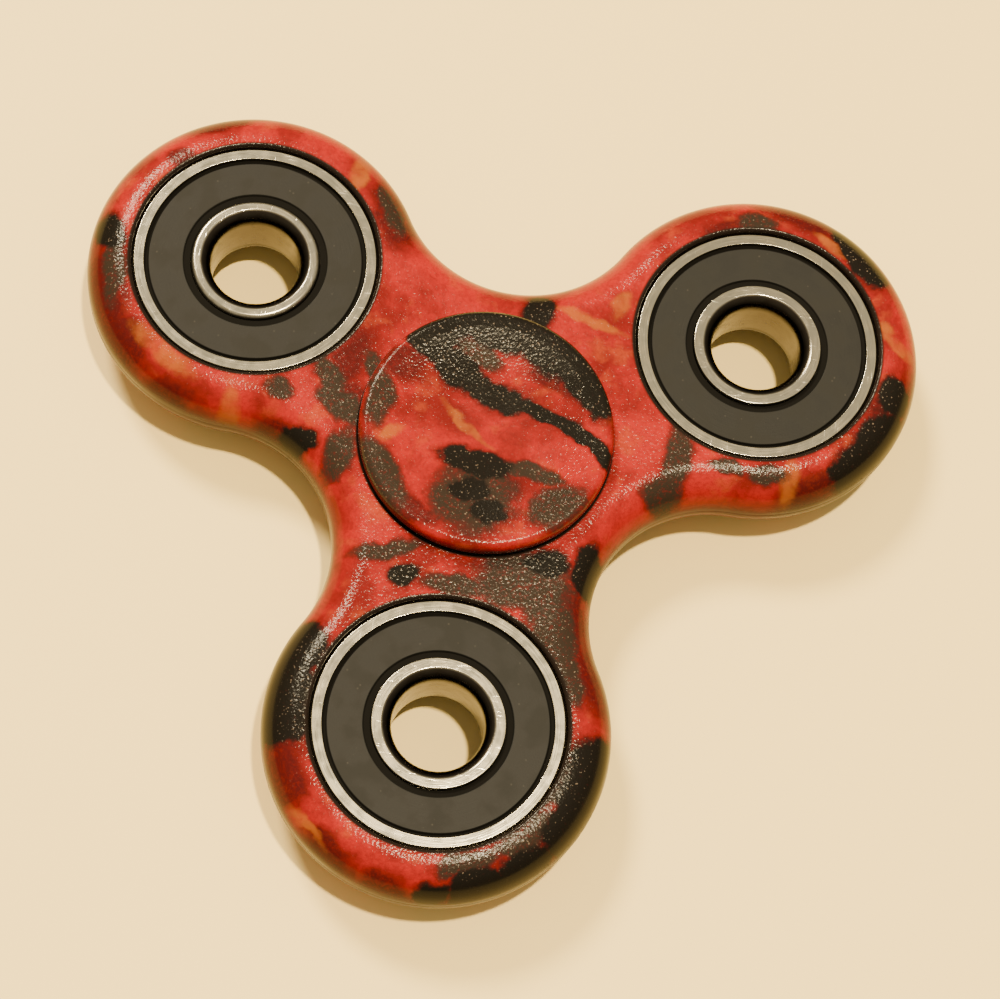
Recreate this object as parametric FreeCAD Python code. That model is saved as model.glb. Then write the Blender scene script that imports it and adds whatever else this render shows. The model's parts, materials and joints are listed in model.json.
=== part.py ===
import FreeCAD, Part  # FreeCAD is imported first
import math
import os

from FreeCAD import Vector

# A three-lobed fidget spinner, in millimetres, +Z up. The origin is the centre of the middle bearing,
# on the spin axis. A moulded body holds four equal ball bearings. Two caps are pressed into the bore of
# the middle one, so that two fingers hold the caps while the body turns round them.

# --- driving dimensions: the ball bearing --------------------------------------------------------
BEARING_OD = 22.0           # outer ring, outside diameter
BEARING_BORE = 8.0          # inner ring, bore diameter
BEARING_WIDTH = 7.0         # both rings are this wide
BALL_DIAMETER = 3.969       # 5/32 inch
BALL_COUNT = 7
RACE_CONFORMITY = 0.52      # race groove radius over ball diameter
SHOULDER_HEIGHT = 0.53      # depth of each race groove below its ring's shoulder
OUTER_CORNER = 0.25         # chamfer on the outer ring's two outside corners
INNER_CORNER = 0.1          # chamfer on the inner ring's two outside corners
LEAD_IN_WIDTH = 0.9         # the rounded mouth of the bore: how far it opens at the face
LEAD_IN_DEPTH = 1.2         # and how deep it runs
INNER_STEP = 0.286          # the inner ring's end lands lie this far under its shoulder
INNER_LAND_DEPTH = 1.1      # and are this long, from the face
OUTER_STEP = 0.936          # the outer ring's seal recess lies this far outside its shoulder

# --- driving dimensions: seals and cages -----------------------------------------------------------
SEAL_INSET = 0.25           # the seal's flat field lies this far below the ring faces
SEAL_SEAT_DEPTH = 0.95      # the ledge that the seal sits on, below the face
SEAL_BEAD_HEIGHT = 0.45     # the bead that snaps into the outer ring's groove
SEAL_BEAD_GRIP = 0.2        # how far that bead reaches outside the recess
SEAL_CORE_THICKNESS = 0.25  # steel washer under the rubber
SEAL_GUTTER = 0.4           # width of the sunk ring round the seal's flat field
SEAL_LIP_WIDTH = 0.55       # the thinner lip next to the inner ring
SEAL_LIP_DROP = 0.2         # how far the lip lies below the flat field
SEAL_LIP_THICKNESS = 0.35
CORE_MARGIN = 0.12          # rubber between the core's rims and the seal's lip and bead
CAGE_THICKNESS = 0.3        # sheet of the two pressed cage halves
RIVET_EDGE = 0.25           # flat sheet left on each side of a rivet's head
RIVET_HEAD_HEIGHT = 0.2
RIVET_SHANK_SHARE = 0.55    # shank over head diameter

# --- driving dimensions: the moulded body ----------------------------------------------------------
LOBE_COUNT = 3
FIRST_LOBE_ANGLE = 30.0     # degrees from +X; the lobe along -Y is the front one
BRIDGE_WALL = 4.3           # plastic between the middle pocket and an outer one
RIM_WALL = 4.05             # plastic round the outer side of a lobe's pocket
WAIST_WALL = 4.05           # plastic between the middle pocket and a waist
BEARING_RECESS = 0.35       # the body stands this far proud of the ring faces
EDGE_ROUND = 3.5            # the body's outer edges, top and bottom
LIP_ROUND = 0.35            # the pocket mouths
CREST_WIDTH = 0.12          # least flat left between an edge round and a pocket mouth

# --- driving dimensions: the two caps ----------------------------------------------------------------
CAP_OVERHANG = 0.2          # the cap's radius over the bearing's
CAP_RIM_HEIGHT = 1.6
CAP_EDGE_ROUND = 0.9        # top edge of the rim
CAP_UNDER_CORNER = 0.3      # bottom edge of the rim
CAP_CREST_WIDTH = 0.7       # flat ring on top of the rim: the spinner stands on the lower one
CAP_DISH_DEPTH = 0.5        # the finger dish
PIN_DIAMETER = 3.2          # centre pin of the upper cap, in the lower cap's socket
PIN_LENGTH = 2.6            # beyond the end of the spigot
SPIGOT_CORNER = 0.3         # chamfers on the spigots and the pin

# --- clearances ----------------------------------------------------------------------------------------
BALL_PLAY = 0.01            # between ball and race
CAGE_POCKET_GAP = 0.1       # between ball and cage pocket
CAGE_SHOULDER_GAP = 0.3     # between cage and ring shoulders
CAGE_SEAL_GAP = 0.1         # at least this between cage and seal
SEAL_LIP_GAP = 0.05         # between seal lip and inner ring
CAP_BODY_GAP = 0.4          # between cap rim and body
CAP_BOSS_MARGIN = 0.15      # the cap's boss stays this far inside the inner ring's outer edge
SPIGOT_END_GAP = 0.2        # between the ends of the two spigots
SOCKET_END_GAP = 0.3        # between the pin's end and the socket's floor

# --- worked out from the driving dimensions ---------------------------------------------------------
bearing_r = BEARING_OD / 2
bore_r = BEARING_BORE / 2
face_z = BEARING_WIDTH / 2
pitch_r = (bearing_r + bore_r) / 2
ball_r = BALL_DIAMETER / 2
race_r = RACE_CONFORMITY * BALL_DIAMETER
inner_race_r = pitch_r - ball_r - BALL_PLAY
outer_race_r = pitch_r + ball_r + BALL_PLAY
inner_shoulder_r = inner_race_r + SHOULDER_HEIGHT
outer_shoulder_r = outer_race_r - SHOULDER_HEIGHT
race_half_width = math.sqrt(race_r**2 - (race_r - SHOULDER_HEIGHT) ** 2)
inner_land_r = inner_shoulder_r - INNER_STEP
recess_r = outer_shoulder_r + OUTER_STEP
lip_r = inner_land_r + SEAL_LIP_GAP
seat_r = recess_r + SEAL_BEAD_GRIP
ledge_z = face_z - SEAL_SEAT_DEPTH
bead_z = ledge_z + SEAL_BEAD_HEIGHT
core_z = ledge_z + SEAL_CORE_THICKNESS
field_z = face_z - SEAL_INSET

body_z = face_z + BEARING_RECESS
lobe_distance = BEARING_OD + BRIDGE_WALL
lobe_r = bearing_r + RIM_WALL
waist_distance = bearing_r + WAIST_WALL
lobe_pitch = 360.0 / LOBE_COUNT

rim_z = body_z + CAP_BODY_GAP
cap_top_z = rim_z + CAP_RIM_HEIGHT
cap_r = bearing_r + CAP_OVERHANG


def polar(radius, degrees, z=0.0):
    """The point at a radius and an angle round the spin axis."""
    angle = math.radians(degrees)
    return Vector(radius * math.cos(angle), radius * math.sin(angle), z)


def turned(path):
    """A solid of revolution round Z. The path is a closed list of (r, z) points, and a pair of points
    stands for an arc: the first is passed through and the second is its end."""
    start = path[0]
    steps = path[1:]
    if path[-1][-1] != start:
        steps = steps + [start]
    edges = []
    for step in steps:
        is_arc = isinstance(step[0], tuple)
        corners = [start, *step] if is_arc else [start, step]
        points = [Vector(r, 0, z) for r, z in corners]
        curve = Part.Arc if is_arc else Part.LineSegment
        edges.append(curve(*points).toShape())
        start = corners[-1]
    face = Part.Face(Part.Wire(edges))
    return face.revolve(Vector(0, 0, 0), Vector(0, 0, 1), 360)


def flipped(shape):
    """The same piece on the underside."""
    return shape.mirror(Vector(0, 0, 0), Vector(0, 0, 1))


def round_the_pitch(piece, first=0.0):
    """One copy of a piece for each ball, evenly spaced, as a list. `first` is in ball pitches."""
    copies = []
    for index in range(BALL_COUNT):
        copy = piece.copy()
        copy.rotate(Vector(0, 0, 0), Vector(0, 0, 1), 360.0 * (index + first) / BALL_COUNT)
        copies.append(copy)
    return copies


# --- the ball bearing, centred on the origin ---------------------------------------------------------
def outer_ring():
    """Outer ring: race groove inside, and a ledge and a groove for a seal at each end."""
    upper = [
        (outer_shoulder_r, race_half_width),
        (outer_shoulder_r, ledge_z),
        (seat_r, ledge_z),
        (seat_r, bead_z),
        (recess_r, bead_z),
        (recess_r, face_z),
        (bearing_r - OUTER_CORNER, face_z),
        (bearing_r, face_z - OUTER_CORNER),
    ]
    lower = [(r, -z) for r, z in reversed(upper)]
    return turned(upper + lower + [((outer_race_r, 0.0), upper[0])])


def inner_ring():
    """Inner ring: race groove outside, end lands for the seal lips, and a bore with rounded mouths."""
    mouth_z = face_z - LEAD_IN_DEPTH
    mouth_r = (LEAD_IN_WIDTH**2 + LEAD_IN_DEPTH**2) / (2 * LEAD_IN_WIDTH)
    half_turn = math.asin(LEAD_IN_DEPTH / mouth_r) / 2
    via_r = bore_r + mouth_r * (1 - math.cos(half_turn))
    via_z = mouth_z + mouth_r * math.sin(half_turn)
    upper = [
        (bore_r + LEAD_IN_WIDTH, face_z),
        (inner_land_r - INNER_CORNER, face_z),
        (inner_land_r, face_z - INNER_CORNER),
        (inner_land_r, face_z - INNER_LAND_DEPTH),
        (inner_shoulder_r, face_z - INNER_LAND_DEPTH),
        (inner_shoulder_r, race_half_width),
    ]
    lower = [(r, -z) for r, z in reversed(upper)]
    race = ((inner_race_r, 0.0), lower[0])
    lower_mouth = ((via_r, -via_z), (bore_r, -mouth_z))
    upper_mouth = ((via_r, via_z), upper[0])
    return turned(upper + [race] + lower[1:] + [lower_mouth, (bore_r, mouth_z), upper_mouth])


def seal():
    """Upper rubber seal: a bead in the outer ring's groove, a flat field and a thin sunk lip."""
    field_out = recess_r - SEAL_GUTTER
    lip_out = lip_r + SEAL_LIP_WIDTH
    lip_z = field_z - SEAL_LIP_DROP
    slope = SEAL_LIP_DROP / 2
    core_in = lip_out + CORE_MARGIN
    core_out = recess_r - CORE_MARGIN
    rubber = [
        (lip_r, lip_z - SEAL_LIP_THICKNESS),
        (core_in, lip_z - SEAL_LIP_THICKNESS),
        (core_in, core_z),
        (core_out, core_z),
        (core_out, ledge_z),
        (seat_r, ledge_z),
        (seat_r, bead_z),
        (field_out + slope, bead_z),
        (field_out, field_z),
        (lip_out + slope, field_z),
        (lip_out, lip_z),
        (lip_r, lip_z),
    ]
    core = [
        (core_in, ledge_z),
        (core_out, ledge_z),
        (core_out, core_z),
        (core_in, core_z),
    ]
    return turned(rubber), turned(core)


def cage():
    """Upper cage half with a domed pocket over each ball, and the rivets that join it to the lower half."""
    pocket_r = ball_r + CAGE_POCKET_GAP
    dome_r = pocket_r + CAGE_THICKNESS
    inside_r = inner_shoulder_r + CAGE_SHOULDER_GAP
    outside_r = outer_shoulder_r - CAGE_SHOULDER_GAP
    web = 2 * pitch_r * math.sin(math.pi / BALL_COUNT) - 2 * dome_r
    head_r = web / 2 - RIVET_EDGE
    shank_r = head_r * RIVET_SHANK_SHARE

    height = min(dome_r, ledge_z - CAGE_SEAL_GAP)
    band = Part.makeCylinder(outside_r, height).cut(Part.makeCylinder(inside_r, height))
    sheet = Part.makeCylinder(outside_r, CAGE_THICKNESS)
    domes = round_the_pitch(Part.makeSphere(dome_r, Vector(pitch_r, 0, 0)))
    pockets = round_the_pitch(Part.makeSphere(pocket_r, Vector(pitch_r, 0, 0)))
    shank = Part.makeCylinder(shank_r, 2 * CAGE_THICKNESS, Vector(pitch_r, 0, -CAGE_THICKNESS))
    shanks = round_the_pitch(shank, 0.5)
    half = sheet.multiFuse(domes).common(band).cut(pockets).cut(shanks)

    top = CAGE_THICKNESS + RIVET_HEAD_HEIGHT
    button_r = (head_r**2 + RIVET_HEAD_HEIGHT**2) / (2 * RIVET_HEAD_HEIGHT)
    via_r = head_r / 2
    via_z = top - button_r + math.sqrt(button_r**2 - via_r**2)
    rivet = turned([
        (0.0, -top),
        ((via_r, -via_z), (head_r, -CAGE_THICKNESS)),
        (shank_r, -CAGE_THICKNESS),
        (shank_r, CAGE_THICKNESS),
        (head_r, CAGE_THICKNESS),
        ((via_r, via_z), (0.0, top)),
    ])
    rivet.translate(Vector(pitch_r, 0, 0))
    return half, Part.makeCompound(round_the_pitch(rivet, 0.5))


def bearing():
    """Every piece of one bearing, by name, centred on the origin."""
    rubber, core = seal()
    half, rivets = cage()
    balls = round_the_pitch(Part.makeSphere(ball_r, Vector(pitch_r, 0, 0)))
    return {
        "outer_ring": outer_ring(),
        "inner_ring": inner_ring(),
        "balls": Part.makeCompound(balls),
        "cage_upper": half,
        "cage_lower": flipped(half),
        "cage_rivets": rivets,
        "upper_seal": rubber,
        "lower_seal": flipped(rubber),
        "upper_seal_core": core,
        "lower_seal_core": flipped(core),
    }


# --- the moulded body --------------------------------------------------------------------------------
def outline():
    """The body's plan: a round lobe about each outer pocket, joined by tangent hollow waists."""
    waist_cos = math.cos(math.radians(lobe_pitch / 2))
    across = lobe_distance**2 + waist_distance**2 - 2 * lobe_distance * waist_distance * waist_cos
    waist_r = (across - lobe_r**2) / (2 * (lobe_r - waist_distance + lobe_distance * waist_cos))
    edges = []
    for index in range(LOBE_COUNT):
        angle = FIRST_LOBE_ANGLE + index * lobe_pitch
        centre = polar(lobe_distance, angle)
        before = polar(waist_distance + waist_r, angle - lobe_pitch / 2)
        after = polar(waist_distance + waist_r, angle + lobe_pitch / 2)
        following = polar(lobe_distance, angle + lobe_pitch)
        share = lobe_r / (lobe_r + waist_r)
        lobe_start = centre + (before - centre) * share
        lobe_end = centre + (after - centre) * share
        waist_end = following + (after - following) * share
        tip = polar(lobe_distance + lobe_r, angle)
        waist = polar(waist_distance, angle + lobe_pitch / 2)
        edges.append(Part.Arc(lobe_start, tip, lobe_end).toShape())
        edges.append(Part.Arc(lobe_end, waist, waist_end).toShape())
    return Part.Wire(edges)


def at_height(shape, height):
    """The edges of a shape that lie in the plane at +height or the one at -height."""
    planes = (height, -height)
    return [e for e in shape.Edges if any(all(abs(v.Z - z) < 1e-6 for v in e.Vertexes) for z in planes)]


def spinner_body():
    """The moulded plate, with deep round edges and a through pocket for each bearing."""
    plate = Part.Face(outline()).extrude(Vector(0, 0, 2 * body_z))
    plate.translate(Vector(0, 0, -body_z))
    edge_room = min(RIM_WALL, WAIST_WALL) - LIP_ROUND - CREST_WIDTH
    plate = plate.makeFillet(min(EDGE_ROUND, edge_room), at_height(plate, body_z))
    pocket = Part.makeCylinder(bearing_r, 2 * body_z, Vector(0, 0, -body_z))
    for x, y, _ in places().values():
        drilled = pocket.copy()
        drilled.translate(Vector(x, y, 0))
        plate = plate.cut(drilled)
    mouths = [e for e in at_height(plate, body_z) if abs(e.Curve.Radius - bearing_r) < 1e-6]
    return plate.makeFillet(LIP_ROUND, mouths)


def places():
    """Where each bearing sits: its name, and its centre's x and y and the angle that it is turned by."""
    spots = {"centre": (0.0, 0.0, 0.0)}
    for index, name in enumerate(("right", "left", "front")):
        angle = FIRST_LOBE_ANGLE + index * lobe_pitch
        centre = polar(lobe_distance, angle)
        spots[name] = (centre.x, centre.y, angle)
    return spots


# --- the caps -------------------------------------------------------------------------------------------
def cap(tail):
    """A cap from its dish down to its spigot's end. `tail` is the path on from there to the axis."""
    spigot_z = SPIGOT_END_GAP / 2
    boss_r = inner_land_r - CAP_BOSS_MARGIN
    crest_out = cap_r - CAP_EDGE_ROUND
    crest_in = crest_out - CAP_CREST_WIDTH
    dish_r = (crest_in**2 + CAP_DISH_DEPTH**2) / (2 * CAP_DISH_DEPTH)
    dish_z = cap_top_z - CAP_DISH_DEPTH
    via = (crest_in / 2, dish_z + dish_r - math.sqrt(dish_r**2 - (crest_in / 2) ** 2))
    turn = CAP_EDGE_ROUND * (1 - math.sqrt(0.5))
    return turned([
        (bore_r - SPIGOT_CORNER, spigot_z),
        (bore_r, spigot_z + SPIGOT_CORNER),
        (bore_r, face_z),
        (boss_r, face_z),
        (boss_r, rim_z),
        (cap_r - CAP_UNDER_CORNER, rim_z),
        (cap_r, rim_z + CAP_UNDER_CORNER),
        (cap_r, cap_top_z - CAP_EDGE_ROUND),
        ((cap_r - turn, cap_top_z - turn), (crest_out, cap_top_z)),
        (crest_in, cap_top_z),
        (via, (0.0, dish_z)),
    ] + tail)


def upper_cap():
    """The cap whose spigot ends in a pin."""
    pin_r = PIN_DIAMETER / 2
    end_z = SPIGOT_END_GAP / 2 - PIN_LENGTH
    return cap([
        (0.0, end_z),
        (pin_r - SPIGOT_CORNER, end_z),
        (pin_r, end_z + SPIGOT_CORNER),
        (pin_r, SPIGOT_END_GAP / 2),
    ])


def lower_cap():
    """The cap whose spigot has the socket for the pin."""
    pin_r = PIN_DIAMETER / 2
    floor_z = PIN_LENGTH + SOCKET_END_GAP - SPIGOT_END_GAP / 2
    return flipped(cap([
        (0.0, floor_z),
        (pin_r, floor_z),
        (pin_r, SPIGOT_END_GAP / 2),
    ]))


# --- the assembly ----------------------------------------------------------------------------------------
def assembly():
    """Every piece of the spinner in its place, by name."""
    pieces = {
        "spinner_body": spinner_body(),
        "upper_cap": upper_cap(),
        "lower_cap": lower_cap(),
    }
    for place, (x, y, angle) in places().items():
        for name, shape in bearing().items():
            shape.rotate(Vector(0, 0, 0), Vector(0, 0, 1), angle)
            shape.translate(Vector(x, y, 0))
            pieces[f"{place}_{name}"] = shape
    return pieces


os.makedirs("parts", exist_ok=True)
for node, piece in assembly().items():
    piece.exportStep(f"parts/{node}.step")
    print(f"{node}: {len(piece.Solids)} solid(s), {piece.Volume:.2f} mm3, valid {piece.isValid()}")
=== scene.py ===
"""The looks of a three-lobed hand spinner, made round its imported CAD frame.

Sizes are in millimetres where a name or docstring says so, and MM turns them into the frame's metres.
The turned pieces are made about their own axis and then stood in their lobe, so each finish runs
round its own ring.
"""

from __future__ import annotations

import functools
import json
import logging
import math
from dataclasses import dataclass
from enum import Enum

import bpy
from mathutils import Matrix, Vector
from mathutils.geometry import tessellate_polygon


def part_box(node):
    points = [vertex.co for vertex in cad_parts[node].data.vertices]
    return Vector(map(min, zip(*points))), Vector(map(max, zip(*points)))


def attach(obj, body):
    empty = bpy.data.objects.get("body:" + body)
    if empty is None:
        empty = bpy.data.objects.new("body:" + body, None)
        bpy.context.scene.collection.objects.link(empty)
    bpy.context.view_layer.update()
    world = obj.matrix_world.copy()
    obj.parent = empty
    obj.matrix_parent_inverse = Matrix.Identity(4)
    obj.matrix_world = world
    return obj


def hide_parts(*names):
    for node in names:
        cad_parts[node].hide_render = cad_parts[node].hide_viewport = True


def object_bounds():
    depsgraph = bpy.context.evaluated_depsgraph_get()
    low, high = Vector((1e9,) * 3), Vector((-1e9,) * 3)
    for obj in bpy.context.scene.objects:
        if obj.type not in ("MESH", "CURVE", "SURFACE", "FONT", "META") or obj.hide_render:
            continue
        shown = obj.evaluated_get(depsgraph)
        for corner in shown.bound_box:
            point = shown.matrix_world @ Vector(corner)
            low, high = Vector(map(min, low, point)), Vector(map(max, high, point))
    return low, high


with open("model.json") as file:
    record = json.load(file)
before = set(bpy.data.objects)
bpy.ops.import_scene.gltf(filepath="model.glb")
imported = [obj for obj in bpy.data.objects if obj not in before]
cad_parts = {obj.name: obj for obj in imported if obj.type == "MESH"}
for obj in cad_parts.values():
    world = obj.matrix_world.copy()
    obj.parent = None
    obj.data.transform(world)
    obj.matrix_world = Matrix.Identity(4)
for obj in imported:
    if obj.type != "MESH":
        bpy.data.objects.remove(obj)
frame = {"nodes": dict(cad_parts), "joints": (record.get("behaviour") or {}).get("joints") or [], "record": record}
cad_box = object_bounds()

MM = 0.001
log = logging.getLogger("spinner")

Colour = tuple[float, float, float]
MID_GREY: Colour = (0.5, 0.5, 0.5)


class Side(Enum):
    """The two faces of the spinner, by the sign of their height."""

    UPPER = 1
    LOWER = -1


class Place(Enum):
    """The four bearings, by the first word of their nodes' names."""

    CENTRE = "centre"
    RIGHT = "right"
    LEFT = "left"
    FRONT = "front"

    def centre(self) -> Vector:
        """The middle of this bearing, in millimetres, read from its ring's joint."""
        spin = {j["name"]: j for j in frame["joints"]}.get(f"{self.value}_ring_spin")
        return Vector(spin["pos_m"]) / MM if spin else Vector((0.0, 0.0, 0.0))

    def inner_body(self) -> str:
        """The body that this bearing's inner ring rides on."""
        return "hub" if self is Place.CENTRE else f"{self.value}_inner"


# --- shader nodes --------------------------------------------------------------------------------------


class Net:
    """A short way to add and join the nodes of one tree."""

    def __init__(self, tree: bpy.types.NodeTree) -> None:
        """Holds the tree that the nodes go into."""
        self.tree = tree

    def node(self, kind: str, inputs: dict | None = None, **settings: object) -> bpy.types.Node:
        """Adds a node.

        Args:
            kind: Blender's name for the node's type.
            inputs: what each input takes, by its name or number: a socket to join, or a value.
            settings: the node's own properties.

        Returns:
            The new node.
        """
        made = self.tree.nodes.new(kind)
        for name, value in settings.items():
            setattr(made, name, value)
        for key, value in (inputs or {}).items():
            if isinstance(value, bpy.types.NodeSocket):
                self.tree.links.new(value, made.inputs[key])
            else:
                made.inputs[key].default_value = value
        return made

    def math(self, operation: str, *values: object) -> bpy.types.NodeSocket:
        """One sum of the named operation on one to three values, as a socket."""
        return self.node("ShaderNodeMath", dict(enumerate(values)), operation=operation).outputs[0]

    def step(
        self, value: object, low: float, high: float, to_low: float = 0.0, to_high: float = 1.0
    ) -> bpy.types.NodeSocket:
        """A smooth step of a value.

        Args:
            value: the socket that is read.
            low: where the step starts.
            high: where it ends.
            to_low: the result at the start.
            to_high: the result at the end.

        Returns:
            The result's socket.
        """
        inputs = {0: value, 1: low, 2: high, 3: to_low, 4: to_high}
        return self.node("ShaderNodeMapRange", inputs, interpolation_type="SMOOTHSTEP").outputs[0]

    def blend(self, amount: object, first: object, second: object) -> bpy.types.NodeSocket:
        """Two colours mixed.

        Args:
            amount: how much of the second shows, from 0 to 1, as a socket or a number.
            first: a colour, or a socket.
            second: the same.

        Returns:
            The mixed colour's socket.
        """
        mix = self.node("ShaderNodeMix", data_type="RGBA")
        for socket, value in zip((mix.inputs[0], mix.inputs[6], mix.inputs[7]), (amount, first, second)):
            if isinstance(value, bpy.types.NodeSocket):
                self.tree.links.new(value, socket)
            else:
                socket.default_value = (*value, 1.0) if isinstance(value, tuple) else value
        return mix.outputs[2]

    def noise(self, vector: object, grain: float, detail: float = 3.0, rough: float = 0.55) -> bpy.types.Node:
        """Fractal noise.

        Args:
            vector: where it is read, in metres.
            grain: the size of its blotches, in millimetres.
            detail: how many finer layers it has.
            rough: how strong those are.

        Returns:
            The noise node.
        """
        inputs = {"Vector": vector, "Scale": 1 / (grain * MM), "Detail": detail, "Roughness": rough}
        return self.node("ShaderNodeTexNoise", inputs)

    def vector(self, operation: str, *values: object) -> bpy.types.NodeSocket:
        """One vector sum of the named operation.

        Args:
            operation: the Vector Math node's operation.
            values: its one to three vectors, or a vector and a number for SCALE.

        Returns:
            The result's socket.
        """
        keys = (0, "Scale") if operation == "SCALE" else (0, 1, 2)
        made = self.node("ShaderNodeVectorMath", dict(zip(keys, values)), operation=operation)
        return made.outputs["Value" if operation == "DISTANCE" else "Vector"]

    def radius(self, where: object, centre: Vector = Vector()) -> bpy.types.NodeSocket:
        """How far a place is from an upright axis through a centre, both in metres, as a socket."""
        flat = self.vector("MULTIPLY", where, (1.0, 1.0, 0.0))
        return self.vector("DISTANCE", flat, Vector((centre.x, centre.y, 0.0)))

    def here(self) -> bpy.types.NodeSocket:
        """The shaded point's place in its piece's own metres, as a socket."""
        return self.node("ShaderNodeTexCoord").outputs["Object"]

    def height(self, where: object) -> bpy.types.NodeSocket:
        """How high a place is, in metres, as a socket."""
        return self.node("ShaderNodeSeparateXYZ", {0: where}).outputs["Z"]

    def bump(self, rise: object, depth: float) -> bpy.types.NodeSocket:
        """The normal that a height field gives, with its depth in millimetres, as a socket."""
        return self.node("ShaderNodeBump", {"Height": rise, "Distance": depth * MM}).outputs["Normal"]

    def place(self, tree: bpy.types.NodeTree, **inputs: object) -> bpy.types.NodeOutputs:
        """Places a shared group with its own values, and returns its outputs."""
        return self.node("ShaderNodeGroup", inputs, node_tree=tree).outputs

    def feed(self, node: bpy.types.Node, **sources: bpy.types.NodeSocket) -> None:
        """Joins sockets to a node's inputs. A name's underscores stand for spaces."""
        for label, socket in sources.items():
            self.tree.links.new(socket, node.inputs[label.replace("_", " ")])


def group_net(
    name: str, takes: dict[str, str], gives: dict[str, str]
) -> tuple[Net, bpy.types.NodeOutputs, bpy.types.Node]:
    """A new shader node group.

    Args:
        name: the group's name.
        takes: its inputs, each name with its socket type.
        gives: its outputs, the same way.

    Returns:
        The group's net, the sockets that its inputs arrive at, and its output node.
    """
    tree = bpy.data.node_groups.new(name, "ShaderNodeTree")
    for label, kind in takes.items():
        tree.interface.new_socket(label, in_out="INPUT", socket_type=kind)
    for label, kind in gives.items():
        tree.interface.new_socket(label, in_out="OUTPUT", socket_type=kind)
    net = Net(tree)
    return net, net.node("NodeGroupInput").outputs, net.node("NodeGroupOutput")


FLOAT = "NodeSocketFloat"
VECTOR = "NodeSocketVector"
COLOUR = "NodeSocketColor"

GRAIN_WANDER = 0.22  # millimetres that the pebbles are pushed out of their rows
DUST_SPACING = 0.9  # millimetres between specks of dust

DEEP_RED: Colour = (0.125, 0.0065, 0.0060)
BRIGHT_RED: Colour = (0.285, 0.0105, 0.0100)
ORANGE_RED: Colour = (0.300, 0.0400, 0.0120)
SPECKLED_RED: Colour = (0.090, 0.0050, 0.0050)
EMBER_INK: Colour = (0.050, 0.0045, 0.0045)
GOLD_INK: Colour = (0.290, 0.080, 0.0120)
BROWN_INK: Colour = (0.021, 0.0145, 0.0105)
BLACK_INK: Colour = (0.0060, 0.0050, 0.0040)
# painted glint on the grain's tops
PAINTED_GLINT: Colour = (0.230, 0.1750, 0.1350)
# painted shade round the bearings' pockets
POCKET_SHADE: Colour = (0.010, 0.0065, 0.0050)
# painted shade laid over the film on the flanks
FLANK_SHADE: Colour = (0.010, 0.0045, 0.0045)
# painted shade in the seals' hollows
SEAL_HOLLOW_SHADE: Colour = (0.0030, 0.0027, 0.0022)
DUST: Colour = (0.10, 0.09, 0.075)


def moulded_grain() -> bpy.types.NodeTree:
    """The fine hammered grain of a spark-eroded mould: rounded pebbles with creases between them.

    Returns:
        The group. Its Height is from about 0 to 1, fading to level where Amount is 0, and Tops is 1
        where a pebble's polished top is.
    """
    takes = {"Vector": VECTOR, "Pebble": FLOAT, "Amount": FLOAT}
    net, inside, out = group_net("moulded_grain", takes, {"Height": FLOAT, "Tops": FLOAT})
    wander = net.noise(inside["Vector"], 0.6, 2.0)
    shift = net.vector("SCALE", net.vector("SUBTRACT", wander.outputs["Color"], MID_GREY), GRAIN_WANDER * MM)
    where = net.vector("ADD", inside["Vector"], shift)
    scale = net.math("DIVIDE", 1.0, inside["Pebble"])
    cells = net.node("ShaderNodeTexVoronoi", {"Vector": where, "Scale": scale}, feature="SMOOTH_F1")
    cells.inputs["Smoothness"].default_value = 0.35
    dome = net.math("SUBTRACT", 1.0, cells.outputs["Distance"])
    fine = net.math("MULTIPLY", scale, 1.25)
    inputs = {"Vector": where, "Scale": fine, "Detail": 2.0, "Roughness": 0.6}
    lumps = net.node("ShaderNodeTexNoise", inputs).outputs["Fac"]
    height = net.math("ADD", net.math("MULTIPLY", dome, 0.6), net.math("MULTIPLY", lumps, 0.8))
    tops = net.math("MULTIPLY", net.step(height, 0.88, 1.0), inside["Amount"])
    net.feed(out, Height=net.math("MULTIPLY", height, inside["Amount"]), Tops=tops)
    return net.tree


def turning_marks() -> bpy.types.NodeTree:
    """Fine rings left by a grinding wheel or a lathe tool, with a few short scratches across them.

    Returns:
        The group. Lines and Scratches are from 0 to 1, and Height adds them up.
    """
    takes = {"Vector": VECTOR, "Pitch": FLOAT, "Scratching": FLOAT}
    gives = {"Lines": FLOAT, "Scratches": FLOAT, "Height": FLOAT}
    net, inside, out = group_net("turning_marks", takes, gives)
    parts = net.node("ShaderNodeSeparateXYZ", {0: inside["Vector"]})
    radius = net.math("DIVIDE", net.radius(inside["Vector"]), inside["Pitch"])
    height = net.math("DIVIDE", parts.outputs[2], inside["Pitch"])
    angle = net.math("ARCTAN2", parts.outputs[1], parts.outputs[0])
    swept = net.node("ShaderNodeCombineXYZ", {0: radius, 1: net.math("MULTIPLY", angle, 3.0), 2: height})
    inputs = {"Vector": swept.outputs[0], "Scale": 1.0, "Detail": 2.0, "Roughness": 0.6}
    lines = net.node("ShaderNodeTexNoise", inputs).outputs["Fac"]
    drawn = net.node("ShaderNodeMapping", {0: inside["Vector"], 2: (0.0, 0.0, 0.7), 3: (1.0, 0.09, 1.0)})
    hair = net.noise(drawn.outputs[0], 0.16, 2.0, 0.7).outputs["Fac"]
    scratches = net.math("MULTIPLY", net.step(hair, 0.6, 0.78), inside["Scratching"])
    rise = net.math("SUBTRACT", lines, net.math("MULTIPLY", scratches, 0.8))
    net.feed(out, Lines=lines, Scratches=scratches, Height=rise)
    return net.tree


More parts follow.
